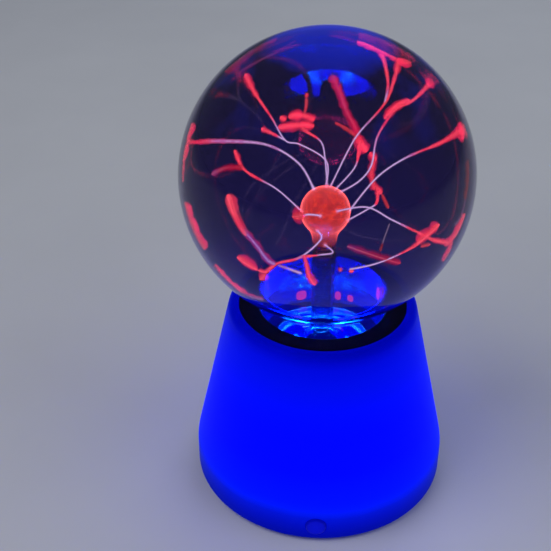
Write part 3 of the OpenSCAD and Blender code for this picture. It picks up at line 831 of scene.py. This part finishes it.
def smooth_path(points, spacing):
    """A Catmull-Rom curve through the points, resampled at an even spacing."""
    fine = []
    for i in range(len(points) - 1):
        a, b = points[max(i - 1, 0)], points[i]
        c, d = points[i + 1], points[min(i + 2, len(points) - 1)]
        for s in range(24):
            t = s / 24
            bend = (2 * a - 5 * b + 4 * c - d) * t**2 + (3 * b - a - 3 * c + d) * t**3
            fine.append(0.5 * (2 * b + (c - a) * t + bend))
    fine.append(points[-1])
    fine = np.array([tuple(p) for p in fine])
    run = np.concatenate([[0], np.cumsum(np.linalg.norm(np.diff(fine, axis=0), axis=1))])
    even = np.linspace(0, run[-1], max(int(run[-1] / spacing), 4) + 1)
    return np.stack([np.interp(even, run, fine[:, k]) for k in range(3)], axis=1)


def tube(path, half_widths, half_heights, centre, sides):
    """Rings and caps round a path. A ring is half_heights deep toward centre and half_widths across."""
    heading = np.gradient(path, axis=0)
    heading /= np.linalg.norm(heading, axis=1)[:, None]
    outward = path - np.array(centre)
    across = np.cross(heading, outward)
    across /= np.maximum(np.linalg.norm(across, axis=1), 1e-9)[:, None]
    for i in range(1, len(across)):
        if across[i] @ across[i - 1] < 0:
            across[i] *= -1
    upward = np.cross(across, heading)
    points = []
    for i in range(len(path)):
        for k in range(sides):
            a = 2 * math.pi * k / sides
            sideways = half_widths[i] * math.cos(a) * across[i]
            points.append(path[i] + sideways + half_heights[i] * math.sin(a) * upward[i])
    faces = []
    for i in range(len(path) - 1):
        for k in range(sides):
            a, b = i * sides + k, i * sides + (k + 1) % sides
            faces.append((a, b, b + sides, a + sides))
    faces.append(tuple(range(sides)))
    faces.append(tuple(range(len(points) - 1, len(points) - 1 - sides, -1)))
    return points, faces


def add_spring(material):
    """The wire helix inside the stem, finer than its CAD solid."""
    low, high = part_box("contact_spring")
    wire_r = 0.4 * MM
    pitch = 2.6 * MM
    coil_r = high.x - wire_r
    turns = (high.z - low.z - 2 * wire_r) / pitch
    steps = 30
    angles = 2 * math.pi * np.arange(int(turns * steps) + 1) / steps
    rise = low.z + wire_r + pitch * angles / (2 * math.pi)
    path = np.stack([coil_r * np.cos(angles), coil_r * np.sin(angles), rise], axis=1)
    widths = np.full(len(path), wire_r)
    points, faces = tube(path, widths, widths, (0, 0, low.z - 1), 10)
    piece = new_piece("contact_spring_wire", points, faces, [material])
    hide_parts("contact_spring")


# ---- plasma streamers --------------------------------------------------------


def on_glass(path, thin, pad, power=1.0, warmth=None):
    """A pad without a filament, on the glass or close to it."""
    return dict(path=path, thin=thin, pad=pad, hot=0.0, power=power, warmth=warmth)


# A streamer starts at a direction from the electrode ball and runs through places in the globe:
# azimuth from the front toward +X, elevation, both in degrees, and share of the inner radius where
# it isn't 1. thin and pad are half-widths in millimetres, and hot is the share of the length that
# stays a filament. warmth runs from a filament's lilac to a pad's red, where it doesn't follow from
# the width.
STREAMERS = [
    # long arm to the left, with a crossbar on the wall
    dict(root=(-134, 47), path=[(-113, 14, 0.22), (-103, 23, 0.47), (-90, 19, 0.77), (-87, 16, 0.95),
         (-87, 17)], thin=0.6, pad=1.9, hot=0.5, warmth=(0, 0, 0.05, 0.15, 0.35, 1)),
    on_glass([(-88, 15, 0.98), (-87, 19), (-87, 24)], 0.9, 2.8),
    on_glass([(-89, 15, 0.98), (-86, 11), (-84, 8)], 0.9, 2.7),
    on_glass([(-85, 9), (-83, 5), (-80, 1)], 0.7, 1.3, power=0.8),
    # upper left, with a short branch
    dict(root=(180, 60), path=[(-179, -7, 0.31), (-160, -3, 0.58), (-156, -6, 0.79), (-151, 5, 0.88),
         (-142, 19, 0.93), (-135, 30)], pad=3.1, hot=0.76),
    dict(path=[(-156, -6, 0.8), (-153, -5, 0.92), (-149, -3)], thin=0.6, pad=2.1, hot=0.25),
    # back, ending in a broad lobed pad
    dict(root=(175, 55), path=[(-178, -9, 0.38), (-176, -6, 0.69), (-170, -6, 0.92), (-168, -5, 0.98)],
         pad=1.2, hot=0.9),
    on_glass([(-174, -5), (-169, -4), (-163, -4), (-157, -4)], 0.9, 3.1),
    on_glass([(-174, -2), (-170, 0), (-165, 1), (-162, 0)], 0.8, 3.1),
    on_glass([(-161, -1), (-158, 1)], 0.8, 2.0),
    on_glass([(-169, 0), (-170, 5), (-170, 9)], 0.6, 0.8, power=0.6),
    on_glass([(-170, 9), (-170, 12)], 0.6, 1.3, power=0.7),
    # top right: two arms that meet in one long pad
    dict(root=(165, 50), path=[(160, -1, 0.44), (158, 6, 0.63), (148, 19, 0.82), (144, 31, 0.94),
         (141, 39)], pad=2.3, hot=0.66),
    dict(path=[(148, 19, 0.82), (148, 26, 0.9), (150, 34, 0.97), (151, 41)], thin=0.7, pad=2.2,
         hot=0.1),
    on_glass([(137, 38), (144, 41), (151, 44), (158, 48), (163, 50)], 0.8, 2.3),
    on_glass([(140, 40), (135, 41), (130, 42)], 1.0, 3.2, power=0.85),
    # right, with a knot half way
    dict(root=(140, 30), path=[(135, -25, 0.37), (146, -15, 0.61), (154, -5, 0.85), (152, 3, 0.96),
         (148, 9, 0.99), (139, 16, 0.99), (121, 33)], thin=0.55, pad=1.4, hot=0.5),
    on_glass([(154, 2, 0.98), (151, 7), (146, 12), (141, 15)], 0.8, 2.2),
    on_glass([(124, 30), (121, 33), (117, 36)], 0.8, 2.7, power=0.6),
    # the trail along the back wall
    dict(root=(150, 40), path=[(154, -18, 0.48), (162, -14, 0.8), (165, -11, 0.99)], pad=2.0, hot=0.6),
    on_glass([(179, 22), (175, 12), (172, 3), (168, -4), (165, -11)], 0.5, 2.3, power=0.7,
         warmth=(0.4, 0.5, 0.5, 0.6, 0.9)),
    on_glass([(167, -8), (164, -12), (161, -15)], 0.9, 3.4),
    on_glass([(177, -3), (171, -6), (165, -10)], 0.7, 1.6, power=0.55),
    on_glass([(160, -15), (156, -18)], 0.8, 2.6),
    on_glass([(157, -17), (157, -25), (153, -31)], 0.8, 2.2, power=0.75),
    on_glass([(154, -29), (149, -32)], 0.8, 3.0),
    on_glass([(149, -32), (142, -37)], 0.6, 1.6, power=0.5),
    # the long arm to the right
    dict(root=(104, -10), path=[(119, -15, 0.42), (117, 1, 0.62), (107, 11, 0.85), (97, 20)], thin=0.55,
         pad=3.4, hot=0.66),
    on_glass([(104, 13), (99, 18), (93, 23)], 0.8, 3.5),
    dict(root=(80, -20), path=[(129, -45, 0.56), (145, -37, 0.85), (152, -31)], pad=2.0, hot=0.8),
    # lower right, with a crossbar
    dict(root=(31, 26), path=[(49, -15, 0.38), (45, -7, 0.62), (38, 1, 0.93), (44, -3), (53, -8)],
         pad=1.7, hot=0.72),
    on_glass([(52, -9), (60, -7), (65, -1)], 0.8, 1.8),
    on_glass([(56, -8), (58, -14), (57, -20)], 0.8, 1.8, power=0.8),
    dict(path=[(47, -12, 0.6), (44, -22, 0.62), (41, -30, 0.66)], thin=0.45, pad=0.6, hot=0.9,
         power=0.25),
    # front left of the ball, with a round pad
    dict(root=(-12, 17), path=[(-9, -17, 0.37), (-11, 4, 0.62), (-10, 12, 0.96), (-10, 13)], thin=0.55,
         pad=1.0, hot=0.9),
    on_glass([(-12, 13), (-8, 14)], 1.0, 4.2, power=0.65),
    dict(root=(-100, -10), path=[(-129, -30, 0.54), (-136, -19, 0.95), (-134, -9)], pad=2.3, hot=0.6),
    on_glass([(-137, -18, 0.98), (-127, -15), (-117, -14)], 0.7, 2.6, power=0.58, warmth=(1, 0.6, 0.4)),
    # broad arm at the left front
    dict(path=[(-29, 2), (-32, 5), (-36, 10), (-39, 15)], thin=1.6, pad=3.8, hot=0.02,
         warmth=(0.5, 0.8, 1, 1)),
    on_glass([(-31, 4, 0.99), (-25, -1, 0.99), (-21, -6, 0.99), (-18, -8, 0.98)], 0.5, 1.9,
         warmth=(0.1, 0)),
    on_glass([(-17, -8, 0.98), (-8, -11, 0.97)], 0.5, 0.8, warmth=(0, 0)),
    # from the taper to the front
    dict(root=(-20, -28), path=[(-4, -40, 0.46), (-13, -20, 0.72), (-18, -9, 0.95), (-22, -12),
         (-25, -12)], pad=1.4, hot=0.72),
    on_glass([(-25, -12), (-29, -11), (-34, -9)], 0.9, 2.9),
    on_glass([(-22, -13), (-24, -16), (-25, -17)], 0.8, 2.4, power=0.8),
    dict(root=(4, -69, 18), path=[(9, -45, 0.54), (-4, -33, 0.6), (-13, -20, 0.72)], thin=0.45, pad=0.6,
         hot=0.9),
    dict(path=[(-7, -1), (-6, -6), (-5, -11), (-3, -15)], thin=0.8, pad=2.6, hot=0.02, warmth=(0.8, 1)),
    # front right
    dict(path=[(9, -7), (17, -6), (22, -5), (34, -2), (39, 0)], thin=0.55, pad=1.5, hot=0.72),
    on_glass([(35, -1), (41, 1), (46, 3)], 0.8, 2.7),
    on_glass([(37, -3), (42, -4)], 0.6, 1.8, power=0.5),
    on_glass([(9, -8), (11, -8)], 0.9, 1.4),
    on_glass([(6, -6), (6, -8)], 0.6, 1.1, power=0.7),
    # faint trails on the wall
    on_glass([(72, 18), (68, 11), (64, 5)], 0.5, 2.2, power=0.16),
    on_glass([(64, 5), (61, 0), (56, -2)], 0.5, 1.2, power=0.25, warmth=(0.2, 0.2)),
    on_glass([(-72, -3), (-68, -9), (-62, -12), (-55, -16)], 0.9, 3.1, power=0.8),
    on_glass([(-66, -33), (-56, -35), (-47, -36), (-40, -35)], 0.9, 2.3),
    on_glass([(-42, -35), (-34, -33), (-27, -31)], 0.6, 1.3, power=0.6, warmth=(0.5, 0.1)),
    on_glass([(8, 3), (18, -2), (29, -8)], 0.4, 2.5, power=0.58, warmth=(0.4, 0.7)),
    on_glass([(-96, 46), (-96, 52), (-102, 58)], 0.5, 4.0, power=0.55, warmth=(0.6, 0.4)),
    on_glass([(-98, 56), (-108, 62), (-120, 66)], 0.5, 2.6, power=0.55, warmth=(0.4, 0.6)),
    on_glass([(-129, 33), (-148, 40)], 0.5, 2.4, power=0.26, warmth=(0.4, 0.3)),
]


# Where a streamer starts to redden, as a share of its hot, and how late it swells into a club
REDDENING = 0.75
CLUB = 3.2
# Least half-width in millimetres, and the share of its depth that a pad loses against the glass
THINNEST = 0.04
FLATTENING = 0.6
SIDES = 14


def direction(azimuth, elevation):
    a, e = math.radians(azimuth), math.radians(elevation)
    return Vector((math.sin(a) * math.cos(e), -math.cos(a) * math.cos(e), math.sin(e)))


def on_ray(azimuth, elevation, share=1):
    return GLOBE_AT + SKIN_R * share * direction(azimuth, elevation)


def streamer_form(number, root=None, path=(), thin=0.5, pad=2.4, hot=0.7, power=1.0, warmth=None):
    """Centre line, filament and pad half-widths, where the pad is, warmth and power along one streamer."""
    places = [on_ray(*place) for place in path]
    if root:
        azimuth, elevation, *reach = root
        places.insert(0, BALL_AT + direction(azimuth, elevation) * (reach[0] * MM if reach else BALL_R))
    line = smooth_path(places, 0.5 * MM)
    run = np.linspace(0, 1, len(line))
    length = 0.5 * (len(line) - 1)
    first = hot * REDDENING
    swell = np.clip((run - first) / (1 - first), 0, 1)
    core = thin * (1 + 0.9 * swell)
    if root:
        core += 0.8 * np.exp(-run * length / 1.4)
    spread = core + (pad - core) * swell**CLUB if hot > 0 else np.full(len(line), 0.0) + pad
    lumps = np.array([noise.noise(Vector(p) * 300 + Vector((number, 0, 0))) for p in line])
    spread *= 1 + 0.5 * lumps
    for widths, size in ((core, thin * 2), (spread, pad)):
        tip = np.clip((1 - run) * length / size, 0, 1)
        widths *= np.sqrt(1 - (1 - tip) ** 2)
        if not root:
            tail = np.clip(run * length / (size if hot == 0 else thin), 0, 1)
            widths *= np.sqrt(1 - (1 - tail) ** 2)
    if warmth is None:
        levels = np.clip(swell * 2.6, 0, 1) if hot > 0 else np.ones(len(line))
        if root:
            levels = np.maximum(levels, 0.5 * np.exp(-run * length / 2.5))
    else:
        levels = np.interp(run, np.linspace(0, 1, len(warmth)), warmth)
    return line, core, spread, swell > 0, levels, np.full(len(line), power)


def on_the_skin(line, heights):
    """Pulls a line inward, so that a tube of these half-heights stays clear of the glass."""
    from_centre = line - np.array(GLOBE_AT)
    reach = np.linalg.norm(from_centre, axis=1)
    limit = SKIN_R - heights - 0.15 * MM
    return np.array(GLOBE_AT) + from_centre * (np.minimum(reach, limit) / reach)[:, None]


def add_streamers(name, material, pads, scale, least=0.0):
    """The filaments or the pads of least power or more, as one mesh of tubes widened by scale."""
    points, faces, warmths, powers = [], [], [], []
    for number, streamer in enumerate(STREAMERS):
        if streamer.get("power", 1.0) < least:
            continue
        line, core, spread, swollen, warmth, power = streamer_form(number, **streamer)
        widths = (spread if pads else core) * scale
        used = swollen if pads else np.full(len(line), True)
        if used.sum() < 4:
            continue
        line, warmth, power = line[used], warmth[used], power[used]
        widths = np.maximum(widths[used], THINNEST) * MM
        reach = np.linalg.norm(line - np.array(GLOBE_AT), axis=1)
        near = np.clip((reach / SKIN_R - 0.86) / 0.12, 0, 1)
        heights = widths * (1 - FLATTENING * near)
        line = on_the_skin(line, heights)
        more_points, more_faces = tube(line, widths, heights, GLOBE_AT, SIDES)
        faces += [tuple(len(points) + i for i in face) for face in more_faces]
        points += more_points
        warmths += list(np.repeat(warmth, SIDES))
        powers += list(np.repeat(power, SIDES))
    piece = new_piece(name, points, faces, [material])
    for label, values in (("warmth", warmths), ("power", powers)):
        piece.data.attributes.new(label, "FLOAT", "POINT").data.foreach_set("value", values)


# Painted reflections: faint glowing marks low on the inside of the neck, standing in for the plasma
# mirrored in its glass: azimuth, lowest and highest point, and half-width
NECK_REFLECTIONS = [(-157, 89, 96, 3.2), (164, 89, 95.5, 1.8), (150, 90, 95, 2.0), (107, 105, 114, 2.4)]


def add_neck_reflections(material):
    points, faces = [], []
    for azimuth, low, high, width in NECK_REFLECTIONS:
        out = direction(azimuth, 0) * (NECK_R - GLOBE_WALL - 0.8 * MM)
        line = np.array([(out.x, out.y, z * MM) for z in np.linspace(low, high, 15)])
        taper = np.sqrt(1 - np.linspace(-1, 1, 15) ** 4 * 0.98)
        widths = width * taper * MM
        more_points, more_faces = tube(line, widths, widths * 0.2, (0, 0, low * MM), SIDES)
        faces += [tuple(len(points) + i for i in face) for face in more_faces]
        points += more_points
    piece = new_piece("painted_neck_reflections", points, faces, [material])
    for label, value in (("warmth", 0.35), ("power", 1.0)):
        piece.data.attributes.new(label, "FLOAT", "POINT").data.foreach_set("value", [value] * len(points))


# ---- the scene ---------------------------------------------------------------


def repaint(material, *nodes):
    """Gives CAD nodes a finished material."""
    for node in nodes:
        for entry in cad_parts[node].material_slots:
            entry.material = material


def add_floor():
    paint = Paint("pale_floor", Base_Color=(0.7, 0.72, 0.76, 1), Roughness=0.55, Specular_IOR_Level=0.3)
    tone = paint.noise(6, 3.0)
    paint.feed("Base Color", paint.ramp(tone, [(0.3, (0.68, 0.7, 0.74)), (0.7, (0.72, 0.74, 0.78))]))
    bpy.ops.mesh.primitive_plane_add(size=8)
    floor = bpy.context.object
    floor.name = "floor"
    floor.data.materials.append(paint.material)


add_camera()
add_world()
add_softbox("key", (-0.9, -0.5, 1.3), 1.2, 8.4, (1.0, 0.98, 0.96), False)
add_softbox("fill", (1.1, -0.4, 1.0), 1.2, 4.6, (0.92, 0.95, 1.0), False)
add_softbox("back", (0.3, 1.2, 1.1), 1.0, 4.2, (0.9, 0.94, 1.0), False)
add_floor()

glass = stem_glass()
globe = add_globe(globe_glass())
add_neck_light(globe, NECK_R - 2 * MM, FOOT_Z + 16 * MM, 110.0, (0.0, 0.008, 1.0))
add_ball_light(globe, 55.0, (1.0, 0.03, 0.16))
add_electrode(ball_film(), glass)
add_halo(ball_halo())
add_wool(glowing_wool())
add_spring(drawn_wire())
add_streamers("streamers", plasma("plasma_core", 1.0, 0.85, CORE_COLOURS), False, 0.58)
add_streamers("streamer_sheath", plasma("plasma_sheath", 0.6, 0.2, CORE_COLOURS), False, 1.2)
add_streamers("streamer_pads", plasma("plasma_pads", 0.95, 0.45, PAD_COLOURS), True, 0.5)
add_streamers("pad_glow", plasma("pad_glow", 0.6, 0.2, PAD_COLOURS), True, 0.78)
haze = plasma("pad_haze", 0.4, 0.07, PAD_COLOURS, (1.0, 0.015, 0.1, 120))
add_streamers("pad_haze", haze, True, 1.15, 0.6)
# Painted reflections of the plasma, low on the inside of the neck's glass.
add_neck_reflections(plasma("painted_neck_reflection_glow", 1.4, 0.6, PAD_COLOURS))

# The globe's LEDs shine from their tops, and the base's from their undersides
LENS_T = 0.4 * MM
led_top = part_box("globe_leds")[1].z
led_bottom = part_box("base_leds")[0].z

repaint(glass, "exhaust_tip")
repaint(black_rubber(), "collar_ring", "stem_plug", "rubber_feet")
repaint(foam(), "neck_pad")
repaint(glowing_plastic(), "globe_holder")
repaint(white_plastic(), "base_plate")
repaint(
    plated_steel(),
    "holder_screws", "plate_screws", "led_board_screws", "board_screws", "transistor_screw",
)
repaint(lit_plastic(), "base_shell")
repaint(button_plastic(), "power_button")
repaint(lit_circuit_board(), "led_board")
repaint(circuit_board(), "driver_board", "switch_board")
repaint(led_light("globe_led", led_top - LENS_T, led_top, 700.0), "globe_leds")
repaint(led_light("base_led", led_bottom, led_bottom + LENS_T, 12.0), "base_leds")
repaint(speckled("ferrite", (0.02, 0.02, 0.022), (0.07, 0.07, 0.075), 0.6), "transformer_core")
repaint(speckled("tan_plastic", (0.42, 0.3, 0.16), (0.5, 0.37, 0.21), 0.45), "coil_bobbin")
repaint(wound_copper(), "primary_coil", "secondary_coil")
repaint(
    speckled("black_epoxy", (0.006, 0.006, 0.007), (0.02, 0.02, 0.022), 0.5),
    "power_transistor", "control_chip", "switch_body", "dc_jack",
)
repaint(brushed_aluminium(), "heatsink")
repaint(capacitor_sleeve(), "electrolytic_capacitors")
dip = speckled("film_dip", (0.25, 0.02, 0.015), (0.38, 0.04, 0.03), 0.25, 500, 0.2, 0.0, 0.6)
repaint(dip, "film_capacitor")
repaint(resistor_body(), "resistors")
ivory = speckled("ivory_plastic", (0.66, 0.62, 0.5), (0.74, 0.7, 0.58), 0.35)
repaint(ivory, "wire_connectors", "switch_plunger")
brass = speckled("brass_pin", (0.6, 0.42, 0.16), (0.78, 0.58, 0.26), 0.25, 900, 0.1, 1.0)
repaint(brass, "dc_jack_pin")
repaint(insulation("red_silicone", (0.42, 0.012, 0.01)), "hv_lead")
repaint(insulation("red_pvc", (0.36, 0.01, 0.015)), "power_leads")
repaint(insulation("yellow_pvc", (0.6, 0.42, 0.02)), "switch_leads")
repaint(insulation("blue_pvc", (0.02, 0.08, 0.42)), "led_leads")

bpy.context.scene.view_settings.view_transform = "Standard"
bpy.context.scene.cycles.use_denoising = True
bpy.context.scene.cycles.transparent_max_bounces = 32
bpy.context.scene.cycles.sample_clamp_indirect = 40
